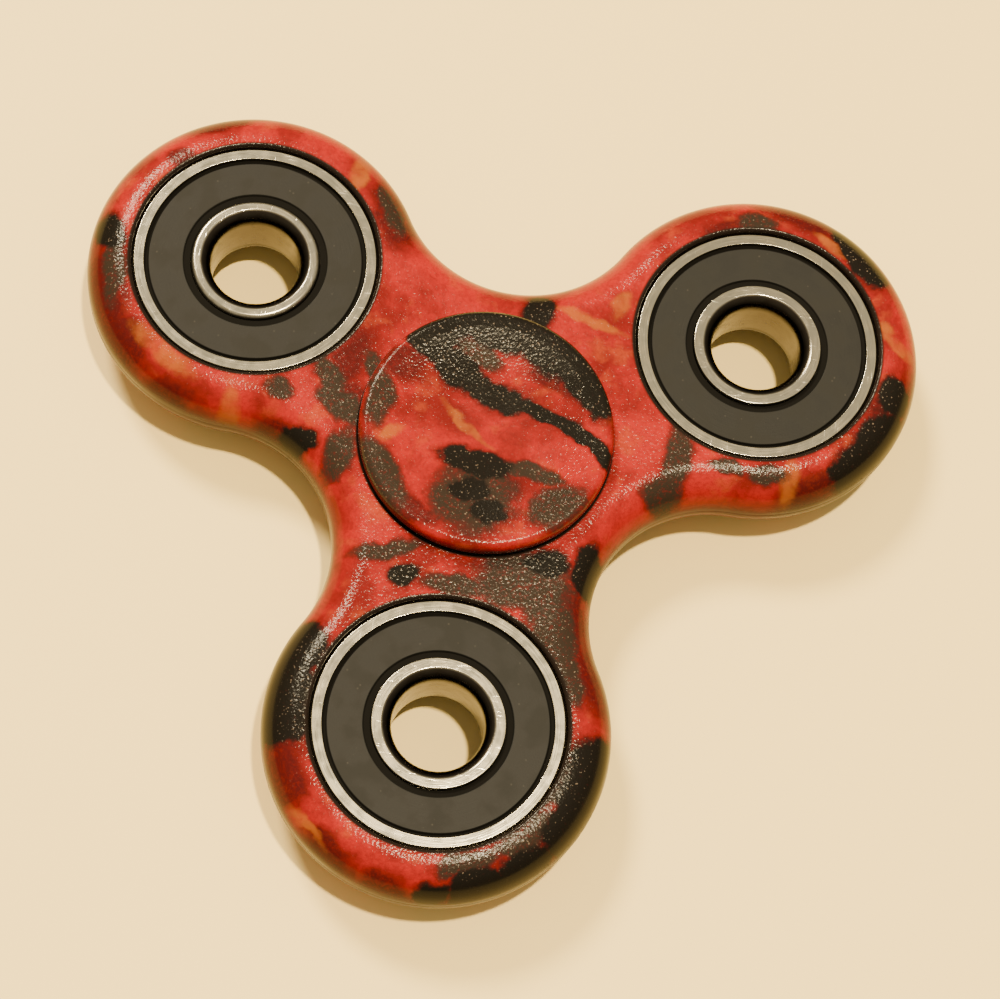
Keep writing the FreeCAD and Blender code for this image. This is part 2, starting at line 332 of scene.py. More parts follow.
def handling() -> bpy.types.NodeTree:
    """Cloudy traces of handling: skin oil in blotches and a sprinkle of fine dust.

    Returns:
        The group. Smear and Dust are from 0 to 1.
    """
    takes = {"Vector": VECTOR, "Blotch": FLOAT}
    net, inside, out = group_net("handling", takes, {"Smear": FLOAT, "Dust": FLOAT})
    scale = net.math("DIVIDE", 1.0, inside["Blotch"])
    where = inside["Vector"]
    cloud = net.node("ShaderNodeTexNoise", {"Vector": where, "Scale": scale, "Detail": 4.0}).outputs["Fac"]
    specks = net.node("ShaderNodeTexVoronoi", {"Vector": where, "Scale": 1 / (DUST_SPACING * MM)})
    speck = net.math("MULTIPLY", net.step(specks.outputs["Distance"], 0.13, 0.04), cloud)
    net.feed(out, Smear=net.step(cloud, 0.35, 0.7), Dust=speck)
    return net.tree


def film_colours() -> bpy.types.NodeTree:
    """The printed film: a red ground, with dark red, gold, brown and black inks laid over each other.

    Returns:
        The group. Each ink's input is how much of it lies there, from 0 to 1. Tops is where the grain
        stands highest, and a painted glint lightens the dark inks there.
    """
    takes = {"Vector": VECTOR} | {ink: FLOAT for ink in ("Ember", "Gold", "Brown", "Black", "Tops")}
    net, inside, out = group_net("film_colours", takes, {"Color": COLOUR})
    where = inside["Vector"]
    cloud = net.noise(where, 6.0, 4.0, 0.6).outputs["Fac"]
    streak = net.noise(where, 2.6, 3.0).outputs["Fac"]
    speckle = net.noise(where, 0.36, 3.0, 0.7).outputs["Fac"]
    ground = net.blend(net.step(cloud, 0.36, 0.62), DEEP_RED, BRIGHT_RED)
    ground = net.blend(net.step(streak, 0.54, 0.72, 0.0, 0.55), ground, ORANGE_RED)
    colour = net.blend(net.step(speckle, 0.30, 0.62, 0.35, 0.0), ground, SPECKLED_RED)
    laid = {}
    for name, ink, cloudy, cover in (
        ("Ember", EMBER_INK, speckle, (0.2, 0.62, 0.60, 1.0)),
        ("Gold", GOLD_INK, streak, (0.25, 0.6, 0.15, 0.65)),
        ("Brown", BROWN_INK, speckle, (0.28, 0.52, 0.50, 1.0)),
        ("Black", BLACK_INK, speckle, (0.2, 0.4, 0.85, 1.0)),
    ):
        laid[name] = net.math("MULTIPLY", inside[name], net.step(cloudy, *cover))
        colour = net.blend(laid[name], colour, ink)
    dark = net.math("MAXIMUM", laid["Brown"], laid["Black"])
    # painted glint: pale specks on the pebble tops, strongest on the dark inks
    glint = net.math("MULTIPLY", inside["Tops"], net.math("MULTIPLY_ADD", dark, 0.42, 0.10))
    net.feed(out, Color=net.blend(glint, colour, PAINTED_GLINT))
    return net.tree


# --- finishes ------------------------------------------------------------------------------------------


class Effects:
    """The node groups that the finishes share, each made once."""

    def __init__(self) -> None:
        """Makes the groups."""
        self.grain = moulded_grain()
        self.marks = turning_marks()
        self.handling = handling()
        self.film = film_colours()


def new_material(name: str) -> tuple[bpy.types.Material, Net, bpy.types.Node]:
    """A material with an empty Principled shader.

    Args:
        name: the material's name.

    Returns:
        The material, its net and its Principled node.
    """
    material = bpy.data.materials.new(name)
    material.use_nodes = True
    net = Net(material.node_tree)
    return material, net, material.node_tree.nodes["Principled BSDF"]


class Tone(Enum):
    """The four inks over the film's red ground, by the film group's inputs."""

    EMBER = "Ember"
    GOLD = "Gold"
    BROWN = "Brown"
    BLACK = "Black"


# how softly each ink ends, and how high the clouds must be for it where its patches fall by chance
SOFTNESS = {Tone.EMBER: 0.24, Tone.GOLD: 0.26, Tone.BROWN: 0.15, Tone.BLACK: 0.10}
CHANCE_LEVEL = {Tone.EMBER: 0.54, Tone.GOLD: 0.66, Tone.BROWN: 0.58, Tone.BLACK: 0.575}
CHANCE_SHIFT = Vector((21.0, 9.0, 33.0))  # millimetres between one ink's clouds and the next one's


@dataclass(frozen=True)
class Ink:
    """One round-ended patch of ink, in millimetres from a bearing's centre and degrees."""

    tone: Tone
    about: Place
    x: float
    y: float
    half_length: float
    half_width: float
    turn: float = 0.0


def inks_round(about: Place, **spots: list[tuple[float, ...]]) -> tuple[Ink, ...]:
    """The patches of ink round one bearing.

    Args:
        about: the bearing.
        spots: for each ink's name, its patches: x, y, half length, half width, and turn if it has one.

    Returns:
        The patches.
    """
    return tuple(Ink(Tone(name), about, *spot) for name, row in spots.items() for spot in row)


@dataclass(frozen=True)
class Film:
    """Marbled film over grained plastic, with its inks where the maker's sheet happened to fall.

    Sizes are in millimetres, and flank_darkness and ink_edge are shares. The flanks get a painted shade, and
    a ring round each bearing's pocket gets a near-black painted shade.
    """

    name: str
    inks: tuple[Ink, ...]
    ink_height: float
    grain_from: float
    grain_to: float
    offset: tuple[float, float, float] = (0.0, 0.0, 0.0)
    pocket_shade_radius: float = 0.0
    flank_from: float = 0.1
    flank_to: float = 2.6
    flank_darkness: float = 0.82
    ink_depth: float = 5.0
    ink_edge: float = 0.41
    sway: float = 2.0
    shake: float = 1.0
    pebble: float = 0.28
    grain_depth: float = 0.034

    def field(self, net: Net, tone: Tone, where: object) -> bpy.types.NodeSocket | float:
        """The patches of one ink, as a field that is 1 in their middles and a half at their edges.

        Args:
            net: the material's net.
            tone: the ink.
            where: the warped place, as a socket.

        Returns:
            The field's socket, or 0 where the film has none of that ink.
        """
        field: bpy.types.NodeSocket | float = 0.0
        for ink in self.inks:
            if ink.tone is not tone:
                continue
            centre = ink.about.centre() + Vector((ink.x, ink.y, 0.0))
            centre.z = self.ink_height
            half = Vector((ink.half_length, ink.half_width, self.ink_depth))
            inputs = {0: where, 1: centre * MM, 2: (0.0, 0.0, math.radians(ink.turn)), 3: half * 2 * MM}
            local = net.node("ShaderNodeMapping", inputs, vector_type="TEXTURE").outputs[0]
            spot = net.node("ShaderNodeTexGradient", {0: local}, gradient_type="SPHERICAL").outputs[1]
            field = net.math("MAXIMUM", field, spot)
        return field

    def by_chance(self, net: Net, tone: Tone, where: object) -> bpy.types.NodeSocket:
        """Ink in cloudy patches of no set place, for the faces that have no inks of their own.

        Args:
            net: the material's net.
            tone: the ink.
            where: the place, as a socket.

        Returns:
            How much of it lies there, from 0 to 1, as a socket.
        """
        level = CHANCE_LEVEL[tone]
        shift = net.vector("ADD", where, CHANCE_SHIFT * MM * (1 + list(Tone).index(tone)))
        cloud = net.noise(shift, 9.0, 3.0, 0.5).outputs["Fac"]
        return net.step(cloud, level - 0.03, level + 0.05)

    def ink_amounts(self, net: Net, where: object, warped: object, loose: object) -> dict[str, object]:
        """How much of each ink lies at a point.

        Args:
            net: the material's net.
            where: the place, as a socket.
            warped: the same, warped as a marbled sheet is.
            loose: the warped place, shifted by this film's own offset.

        Returns:
            A socket from 0 to 1 for each ink, by the film group's inputs.
        """
        lobed = net.math("SUBTRACT", net.noise(where, 1.9, 2.0).outputs["Fac"], 0.5)
        torn = net.math("SUBTRACT", net.noise(where, 0.5, 3.0, 0.7).outputs["Fac"], 0.5)
        ragged = net.math("MULTIPLY_ADD", lobed, 0.36, net.math("MULTIPLY", torn, 0.24))
        height = net.height(where)
        side = math.copysign(1.0, self.ink_height)
        hidden = net.step(height, side * 0.8 * MM, side * -2.2 * MM)
        shown = net.math("SUBTRACT", 1.0, hidden)
        fields = {tone: self.field(net, tone, warped) for tone in Tone}
        dark = net.math("MAXIMUM", fields[Tone.BROWN], fields[Tone.BLACK])
        halo = net.step(net.math("ADD", dark, ragged), 0.14, 0.46, 0.0, 0.85)
        amounts: dict[str, object] = {}
        for tone, soft in SOFTNESS.items():
            laid = net.math("ADD", fields[tone], ragged)
            placed = net.step(laid, self.ink_edge - soft, self.ink_edge + soft)
            if tone is Tone.EMBER:
                placed = net.math("MAXIMUM", placed, halo)
            kept = net.math("MULTIPLY", placed, shown)
            chance = net.math("MULTIPLY", self.by_chance(net, tone, loose), hidden)
            amounts[tone.value] = net.math("MAXIMUM", kept, chance)
        return amounts

    def material(self, effects: Effects) -> bpy.types.Material:
        """Builds the material.

        Args:
            effects: the shared node groups.

        Returns:
            The finished material.
        """
        material, net, shader = new_material(self.name)
        where = net.here()
        warped = where
        for blotch, detail, reach in ((5.5, 2.0, self.sway), (1.5, 3.0, self.shake)):
            push = net.vector("SUBTRACT", net.noise(where, blotch, detail).outputs["Color"], MID_GREY)
            warped = net.vector("ADD", warped, net.vector("SCALE", push, reach * MM))
        loose = net.vector("ADD", warped, Vector(self.offset) * MM)

        level = net.math("ABSOLUTE", net.height(where))
        grained = net.step(level, self.grain_from * MM, self.grain_to * MM, 0.05, 1.0)
        grain = net.place(effects.grain, Vector=where, Pebble=self.pebble * MM, Amount=grained)
        inks = self.ink_amounts(net, where, warped, loose)
        colour = net.place(effects.film, Vector=loose, Tops=grain["Tops"], **inks)["Color"]
        # painted shade: a near-black ring round each bearing's pocket, where the gap between ring and body is in
        # shade
        if self.pocket_shade_radius:
            away = [net.radius(where, place.centre() * MM) for place in Place]
            near = functools.reduce(functools.partial(net.math, "MINIMUM"), away)
            pocket_shade = net.step(near, (self.pocket_shade_radius + 0.22) * MM, (self.pocket_shade_radius - 0.04) * MM)
            colour = net.blend(pocket_shade, colour, POCKET_SHADE)
        # painted shade: the film is darkened towards the middle of the edge, away from the flats, where less light
        # falls
        flank = net.step(level, self.flank_to * MM, self.flank_from * MM)
        colour = net.blend(net.math("MULTIPLY", flank, self.flank_darkness), colour, FLANK_SHADE)
        smear = net.place(effects.handling, Vector=where, Blotch=6.0 * MM)["Smear"]
        rough = net.math("MULTIPLY_ADD", flank, 0.12, net.step(smear, 0.0, 1.0, 0.155, 0.215))
        normal = net.bump(grain["Height"], self.grain_depth)
        net.feed(shader, Base_Color=colour, Roughness=rough, Normal=normal)
        shader.inputs["Specular IOR Level"].default_value = 0.12
        return material


@dataclass(frozen=True)
class Steel:
    """A steel surface with turning marks, fine scratches and traces of handling.

    A ring's bore, inside the mouth's radius, gets painted shade: darkest near its mouths and a little
    lighter between them. Sizes are in millimetres, and roughness and scratching are shares.
    """

    name: str
    colour: Colour
    dull: Colour
    bright: Colour
    roughness: float
    pitch: float
    depth: float
    scratching: float
    mouth_shade: Colour = (0.014, 0.0095, 0.0070)
    bore_shade: Colour = (0.100, 0.086, 0.085)
    mouth_radius: float = 4.95
    mouth_height: float = 2.1

    def material(self, effects: Effects) -> bpy.types.Material:
        """Builds the material.

        Args:
            effects: the shared node groups.

        Returns:
            The finished material.
        """
        material, net, shader = new_material(self.name)
        where = net.here()
        marks = net.place(effects.marks, Vector=where, Pitch=self.pitch * MM, Scratching=self.scratching)
        smear = net.place(effects.handling, Vector=where, Blotch=1.1 * MM)["Smear"]
        base = net.blend(net.math("MULTIPLY", smear, 0.85), self.colour, self.dull)
        base = net.blend(net.math("MULTIPLY", marks["Scratches"], 0.5), base, self.bright)
        height = net.math("ABSOLUTE", net.height(where))
        # painted shade in the bore: near-black at its mouths, dark grey between them
        wall = net.step(height, (self.mouth_height + 0.25) * MM, (self.mouth_height - 0.35) * MM)
        mouth = (self.mouth_radius * MM, (self.mouth_radius - 0.25) * MM)
        bored = net.step(net.radius(where), *mouth, 0.0, 0.93)
        base = net.blend(bored, base, net.blend(wall, self.mouth_shade, self.bore_shade))
        streaky = net.math("MULTIPLY_ADD", marks["Lines"], 0.16, self.roughness - 0.08)
        rough = net.math("MULTIPLY_ADD", smear, 0.10, streaky)
        net.feed(shader, Base_Color=base, Roughness=rough, Normal=net.bump(marks["Height"], self.depth))
        shader.inputs["Metallic"].default_value = 1.0
        return material


@dataclass(frozen=True)
class Rubber:
    """Moulded nitrile rubber, dull, with faint mould rings, a little dust and painted shade in its hollows.

    Sizes are in millimetres. The two edges are the radii of the flat field's rims.
    """

    name: str
    colour: Colour
    bloom: Colour
    lip_edge: float = 6.35
    field_edge: float = 9.5
    skin_depth: float = 0.008

    def material(self, effects: Effects) -> bpy.types.Material:
        """Builds the material.

        Args:
            effects: the shared node groups.

        Returns:
            The finished material.
        """
        material, net, shader = new_material(self.name)
        where = net.here()
        marks = net.place(effects.marks, Vector=where, Pitch=0.14 * MM, Scratching=0.25)
        traces = net.place(effects.handling, Vector=where, Blotch=2.4 * MM)
        base = net.blend(traces["Smear"], self.colour, self.bloom)
        base = net.blend(net.math("MULTIPLY", traces["Dust"], 0.35), base, DUST)
        radius = net.radius(where)
        # painted shade: near-black at the sunk lip and in the gutter beside the outer ring
        lip = net.step(radius, (self.lip_edge + 0.12) * MM, self.lip_edge * MM)
        gutter = net.step(radius, (self.field_edge - 0.08) * MM, self.field_edge * MM)
        hollow_shade = net.math("MULTIPLY", net.math("MAXIMUM", lip, gutter), 0.96)
        base = net.blend(hollow_shade, base, SEAL_HOLLOW_SHADE)
        rough = net.math("MAXIMUM", net.step(traces["Smear"], 0.0, 1.0, 0.50, 0.64), hollow_shade)
        skin = net.noise(where, 0.16, 3.0, 0.6).outputs["Fac"]
        rise = net.math("MULTIPLY_ADD", skin, 0.8, marks["Height"])
        net.feed(shader, Base_Color=base, Roughness=rough, Normal=net.bump(rise, self.skin_depth))
        shader.inputs["Specular IOR Level"].default_value = 0.12
        return material


# --- meshes --------------------------------------------------------------------------------------------


@dataclass(frozen=True)
class Corner:
    """A corner of a turned profile, in millimetres. A ring of corners is closed by the lathe."""

    r: float
    z: float
    soft: float = 0.03
    curved: bool = False


def arc(centre: tuple[float, float], radius: float, start: float, end: float, count: int) -> list[Corner]:
    """Points along a circular stretch of a profile.

    Args:
        centre: the arc's centre, radius and height in millimetres.
        radius: the arc's own radius.
        start: the angle where it starts, in degrees from the outward direction.
        end: the angle where it ends.
        count: how many steps it takes.

    Returns:
        The points, both ends among them, each lying on a curve.
    """
    made = []
    for index in range(count + 1):
        angle = math.radians(start + (end - start) * index / count)
        r, z = centre[0] + radius * math.cos(angle), centre[1] + radius * math.sin(angle)
        made.append(Corner(r, z, curved=True))
    return made


STILL_SMOOTH = 0.9  # a curve stays smooth at a point while its two normals agree this well
EDGE_SHARE = 0.48  # a corner's rounding takes at most this share of the edges beside it
BEND_STEP = 0.4  # a corner's steps go round a bend of twice this many radians
MOST_STEPS = 12
WIDE_TURN = 224  # steps round the pieces that show largest
TURN = 192  # and round the others


class Turning:
    """A piece turned on a lathe: a profile swept round an axis, with true normals."""

    def __init__(self, corners: list[Corner], segments: int = TURN, steps: int = 3) -> None:
        """Rounds the profile's corners.

        Args:
            corners: the profile, as a loop, or as a path whose two ends are on the axis.
            segments: how many steps go round the axis.
            steps: how many steps go round a corner.
        """
        self.segments = segments
        self.on_axis = corners[0].r == 0.0 and corners[-1].r == 0.0
        self.points: list[tuple[float, float]] = []
        self.normals: list[tuple[float, float]] = []
        area = sum(a.r * b.z - b.r * a.z for a, b in zip(corners, corners[1:] + corners[:1]))
        self.sign = 1.0 if area > 0 else -1.0
        last = len(corners) - 1
        for index, corner in enumerate(corners):
            before, after = corners[index - 1], corners[(index + 1) % len(corners)]
            if self.on_axis and index in (0, last):
                self.add(Vector((corner.r, corner.z)), Vector((0.0, 1.0 if index == 0 else -1.0)))
                continue
            self.turn(before, corner, after, steps)
        if self.on_axis and self.points[0][1] < self.points[-1][1]:
            self.normals[0], self.normals[-1] = self.normals[-1], self.normals[0]

    def add(self, point: Vector, normal: Vector) -> None:
        """Adds one point and its normal to the profile."""
        self.points.append((point.x, point.y))
        self.normals.append((normal.x, normal.y))

    def turn(self, before: Corner, corner: Corner, after: Corner, steps: int) -> None:
        """Adds a corner's points: one on a curve, and a small arc elsewhere.

        Args:
            before: the corner before it.
            corner: the corner itself.
            after: the corner after it.
            steps: how many steps go round it.
        """
        here = Vector((corner.r, corner.z))
        towards = (here - Vector((before.r, before.z))).normalized()
        away = (Vector((after.r, after.z)) - here).normalized()
        first = Vector((towards.y, -towards.x)) * self.sign
        second = Vector((away.y, -away.x)) * self.sign
        if corner.curved and first.dot(second) > STILL_SMOOTH:
            self.add(here, (first + second).normalized())
            return
        room = min((Vector((o.r, o.z)) - here).length for o in (before, after)) * EDGE_SHARE
        half = math.acos(max(-1.0, min(1.0, towards.dot(away)))) / 2
        cut = min(corner.soft * math.tan(half), room)
        if cut < 1e-6:
            self.add(here, first)
            return
        radius = cut / math.tan(half)
        bend = 1.0 if towards.cross(away) > 0 else -1.0
        start = here - towards * cut
        pivot = start + Vector((-towards.y, towards.x)) * bend * radius
        count = max(1, min(MOST_STEPS, round(steps * half / BEND_STEP)))
        for index in range(count + 1):
            angle = bend * 2 * half * index / count
            spoke = Matrix.Rotation(angle, 2) @ (start - pivot)
            self.add(pivot + spoke, (Matrix.Rotation(angle, 2) @ first).normalized())

    def mesh(self, name: str) -> bpy.types.Mesh:
        """Sweeps the profile round the axis.

        Args:
            name: the mesh's name.

        Returns:
            The turned mesh, in metres, about its own axis.
        """
        points, normals, rows = [], [], []
        for (r, z), (nr, nz) in zip(self.points, self.normals):
            count = 1 if r < 1e-9 else self.segments
            rows.append((len(points), count))
            for index in range(count):
                angle = 2 * math.pi * index / self.segments
                c, s = math.cos(angle), math.sin(angle)
                points.append((r * c * MM, r * s * MM, z * MM))
                normals.append((nr * c, nr * s, nz))
        faces = []
        pairs = list(zip(rows, rows[1:])) if self.on_axis else list(zip(rows, rows[1:] + rows[:1]))
        for (low, low_count), (high, high_count) in pairs:
            for index in range(self.segments):
                following = (index + 1) % self.segments
                loop = [low + index, low + following] if low_count > 1 else [low]
                loop += [high + following, high + index] if high_count > 1 else [high]
                faces.append(loop if self.sign > 0 else loop[::-1])
        return smooth_mesh(name, points, faces, normals)


def smooth_mesh(name: str, points: list, faces: list, normals: list) -> bpy.types.Mesh:
    """A smooth mesh with the normals that its true surface has.

    Args:
        name: the mesh's name.
        points: the vertices, in metres.
        faces: the vertices of each face.
        normals: the normal at each vertex.

    Returns:
        The mesh.
    """
    mesh = bpy.data.meshes.new(name)
    mesh.from_pydata(points, [], faces)
    mesh.shade_smooth()
    mesh.normals_split_custom_set_from_vertices(normals)
    return mesh


def flipped(corners: list[Corner]) -> list[Corner]:
    """The same profile on the underside."""
    return [Corner(c.r, -c.z, c.soft, c.curved) for c in corners]


class Maker:
    """Turns meshes into pieces of the object, each riding its body and standing for its CAD node."""

    def put(self, node: str, body: str, mesh: bpy.types.Mesh, finish: bpy.types.Material, slot: str,
            place: Place = Place.CENTRE, turn: float = 0.0) -> bpy.types.Object:
        """Stands a mesh in its place.

        Args:
            node: the CAD node that it stands for.
            body: the CAD body that it rides on.
            mesh: its mesh, about its own axis.
            finish: its material.
            slot: the record's material slot. Not used.
            place: the bearing that it belongs to.
            turn: how far it is turned about its axis, in degrees.

        Returns:
            The new piece.
        """
        piece = bpy.data.objects.new(f"{node}_finished", mesh)
        bpy.context.scene.collection.objects.link(piece)
        mesh.materials.append(finish)
        piece.location = place.centre() * MM
        piece.rotation_euler.z = math.radians(turn)
        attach(piece, body)
        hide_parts(node)
        log.info("%s: %d faces on %s", piece.name, len(mesh.polygons), body)
        return piece


# --- the moulded body ----------------------------------------------------------------------------------


def top_of(node: str) -> float:
    """The highest point of a CAD node, in millimetres."""
    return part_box(node)[1].z / MM


@dataclass
class MouldedBody:
    """The three-lobed plate. Sizes are in millimetres."""

    waist_distance: float = 15.05
    edge_round: float = 3.5
    lip_round: float = 0.35
    seam_depth: float = 0.04
    seam_width: float = 0.16
    lobe_steps: int = 216
    waist_steps: int = 64
    round_steps: int = 18
    lip_steps: int = 5
    pocket_steps: int = 240

    def lobes(self) -> list[Vector]:
        """The lobes' centres, anticlockwise."""
        return [p.centre() for p in (Place.RIGHT, Place.LEFT, Place.FRONT)]

    def outline(self) -> list[tuple[Vector, Vector]]:
        """The plan: round lobes joined by hollow waists that are tangent to them.

        Returns:
            The points, anticlockwise, each with its outward normal.
        """
        lobes = self.lobes()
        distance = lobes[0].length
        lobe_r = -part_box("spinner_body")[0].y / MM - distance
        half = math.pi / len(lobes)
        across = distance**2 + self.waist_distance**2 - 2 * distance * self.waist_distance * math.cos(half)
        waist_r = (across - lobe_r**2) / (2 * (lobe_r - self.waist_distance + distance * math.cos(half)))
        points = []
        for centre in lobes:
            heading = math.atan2(centre.y, centre.x)
            hollow = Vector((math.cos(heading + half), math.sin(heading + half), 0.0))
            hollow *= self.waist_distance + waist_r
            away = hollow - centre
            sweep = math.remainder(math.atan2(away.y, away.x) - heading, 2 * math.pi)
            for step in range(self.lobe_steps):
                angle = heading - sweep + 2 * sweep * step / self.lobe_steps
                normal = Vector((math.cos(angle), math.sin(angle), 0.0))
                points.append((centre + normal * lobe_r, normal))
            inward = heading + half + math.pi
            back = centre - hollow
            swing = math.remainder(math.atan2(back.y, back.x) - inward, 2 * math.pi)
            for step in range(self.waist_steps):
                angle = inward + swing - 2 * swing * step / self.waist_steps
                normal = -Vector((math.cos(angle), math.sin(angle), 0.0))
                points.append((hollow - normal * waist_r, normal))
        return points

    def edge_section(self, half_height: float) -> list[tuple[float, float, float, float]]:
        """The outer edge, from the lower flat to the upper one.

        Args:
            half_height: the flats' height.

        Returns:
            Points as inset from the outline, height, and the normal's outward and upward parts.
        """
        pivot = half_height - self.edge_round
        upper = []
        for step in range(self.round_steps + 1):
            angle = math.pi / 2 * step / self.round_steps
            c, s = math.cos(angle), math.sin(angle)
            upper.append((self.edge_round * (1 - c), pivot + self.edge_round * s, c, s))
        seam = [(0.0, self.seam_width / 2, 1.0, 0.0), (self.seam_depth, 0.0, 1.0, 0.0)]
        upward = seam[1:] + seam[:1] + upper
        downward = [(inset, -z, c, -s) for inset, z, c, s in reversed(upward[1:])]
        return downward + upward

    def pocket_section(self, half_height: float) -> list[tuple[float, float, float, float]]:
        """A pocket's wall and its two lips, from the lower flat to the upper one.

        Args:
            half_height: the flats' height.

        Returns:
            Points as outset from the wall, height, and the normal's outward and upward parts.
        """
        upper = []
        for step in range(self.lip_steps + 1):
            angle = math.pi / 2 * step / self.lip_steps
            c, s = math.cos(angle), math.sin(angle)
            upper.append((self.lip_round * (1 - c), half_height - self.lip_round * (1 - s), -c, s))
        lower = [(outset, -z, c, -s) for outset, z, c, s in reversed(upper)]
        return lower + upper

    def mesh(self) -> bpy.types.Mesh:
        """Builds the plate: its edge, its four pockets and its two flats.

        Returns:
            The mesh, in metres.
        """
        half_height = top_of("spinner_body")
        pocket_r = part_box("centre_outer_ring")[1].x / MM
        points: list[Vector] = []
        normals: list[Vector] = []
        faces: list[list[int]] = []
        rims: dict[Side, list[list[int]]] = {Side.LOWER: [], Side.UPPER: []}

        def sweep(ring: list[tuple[Vector, Vector]], section: list, outward: bool) -> None:
            """Sweeps a section round a ring.

            Args:
                ring: the ring's points, anticlockwise, each with its flat normal.
                section: the section's points, from the lower flat to the upper one.
                outward: whether the material is inside the ring.
            """
            first = len(points)
            rows = len(section)
            for centre, normal in ring:
                for inset, z, flat, up in section:
                    shift = -inset if outward else inset
                    spot = centre + normal * shift
                    points.append(Vector((spot.x, spot.y, z)) * MM)
                    normals.append(normal * flat + Vector((0.0, 0.0, up)))
            for index in range(len(ring)):
                here, there = first + index * rows, first + (index + 1) % len(ring) * rows
                for row in range(rows - 1):
                    quad = [here + row, there + row, there + row + 1, here + row + 1]
                    faces.append(quad if outward else quad[::-1])
            for side, row in ((Side.LOWER, 0), (Side.UPPER, rows - 1)):
                rims[side].append([first + index * rows + row for index in range(len(ring))])

        sweep(self.outline(), self.edge_section(half_height), True)
        for place in Place:
            ring = []
            for step in range(self.pocket_steps):
                angle = 2 * math.pi * step / self.pocket_steps
                normal = Vector((math.cos(angle), math.sin(angle), 0.0))
                ring.append((place.centre() + normal * pocket_r, normal))
            sweep(ring, self.pocket_section(half_height), False)
        for side, loops in rims.items():
            order = [index for loop in loops for index in loop]
            for triangle in tessellate_polygon([[points[i] for i in loop] for loop in loops]):
                a, b, c = (order[i] for i in triangle)
                turned_up = (points[b] - points[a]).cross(points[c] - points[a]).z > 0
                faces.append([a, b, c] if turned_up == (side is Side.UPPER) else [a, c, b])
        return smooth_mesh("spinner_body", points, faces, normals)


@dataclass
class FingerCap:
    """A cap with its dish, rim, boss and spigot. Sizes are in millimetres."""

    rim_height: float = 1.6
    edge_round: float = 0.9
    under_corner: float = 0.3
    crest_width: float = 0.7
    crest_blend: float = 1.2
    dish_depth: float = 0.5
    boss_radius: float = 5.5992
    spigot_radius: float = 4.0
    spigot_end: float = 0.1
    spigot_corner: float = 0.3
    pin_radius: float = 1.6
    socket_floor: float = 2.8
    dish_steps: int = 14

    def profile(self, side: Side) -> list[Corner]:
        """The cap's profile from the middle of its dish round to the end of its pin or socket.

        Args:
            side: the upper cap has the pin and the lower one the socket.

        Returns:
            The corners, for a cap that faces up.
        """
        rim_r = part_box("upper_cap")[1].x / MM
        top = top_of("upper_cap")
        under = top - self.rim_height
        face = top_of("centre_inner_ring")
        crest = rim_r - self.edge_round - self.crest_width
        dish_r = (crest**2 + self.dish_depth**2) / (2 * self.dish_depth)
        spread = math.degrees(math.asin(crest / dish_r))
        dish = arc((0.0, top - self.dish_depth + dish_r), dish_r, -90.0, spread - 90.0, self.dish_steps)
        dish[0] = Corner(0.0, top - self.dish_depth)
        dish[-1] = Corner(crest, top, self.crest_blend)
        rim = [
            Corner(rim_r, top, self.edge_round),
            Corner(rim_r, under, self.under_corner),
            Corner(self.boss_radius, under, 0.1),
            Corner(self.boss_radius, face, 0.05),
            Corner(self.spigot_radius, face, 0.05),
            Corner(self.spigot_radius, self.spigot_end, self.spigot_corner),
        ]
        upper = side is Side.UPPER
        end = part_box("upper_cap")[0].z / MM if upper else self.socket_floor
        at_spigot, at_end = (0.1, 0.3) if upper else (0.05, 0.05)
        tail = [Corner(self.pin_radius, self.spigot_end, at_spigot), Corner(self.pin_radius, end, at_end)]
        return dish + rim + tail + [Corner(0.0, end)]

    def build(self, maker: Maker, side: Side, finish: bpy.types.Material) -> None:
        """Makes one cap.

        Args:
            maker: what stands pieces in their place.
            side: which cap.
            finish: its film.
        """
        corners = self.profile(side)
        if side is Side.LOWER:
            corners = flipped(corners)
        node = f"{side.name.lower()}_cap"
        maker.put(node, "hub", Turning(corners, WIDE_TURN, 5).mesh(node), finish, "cap_plastic")


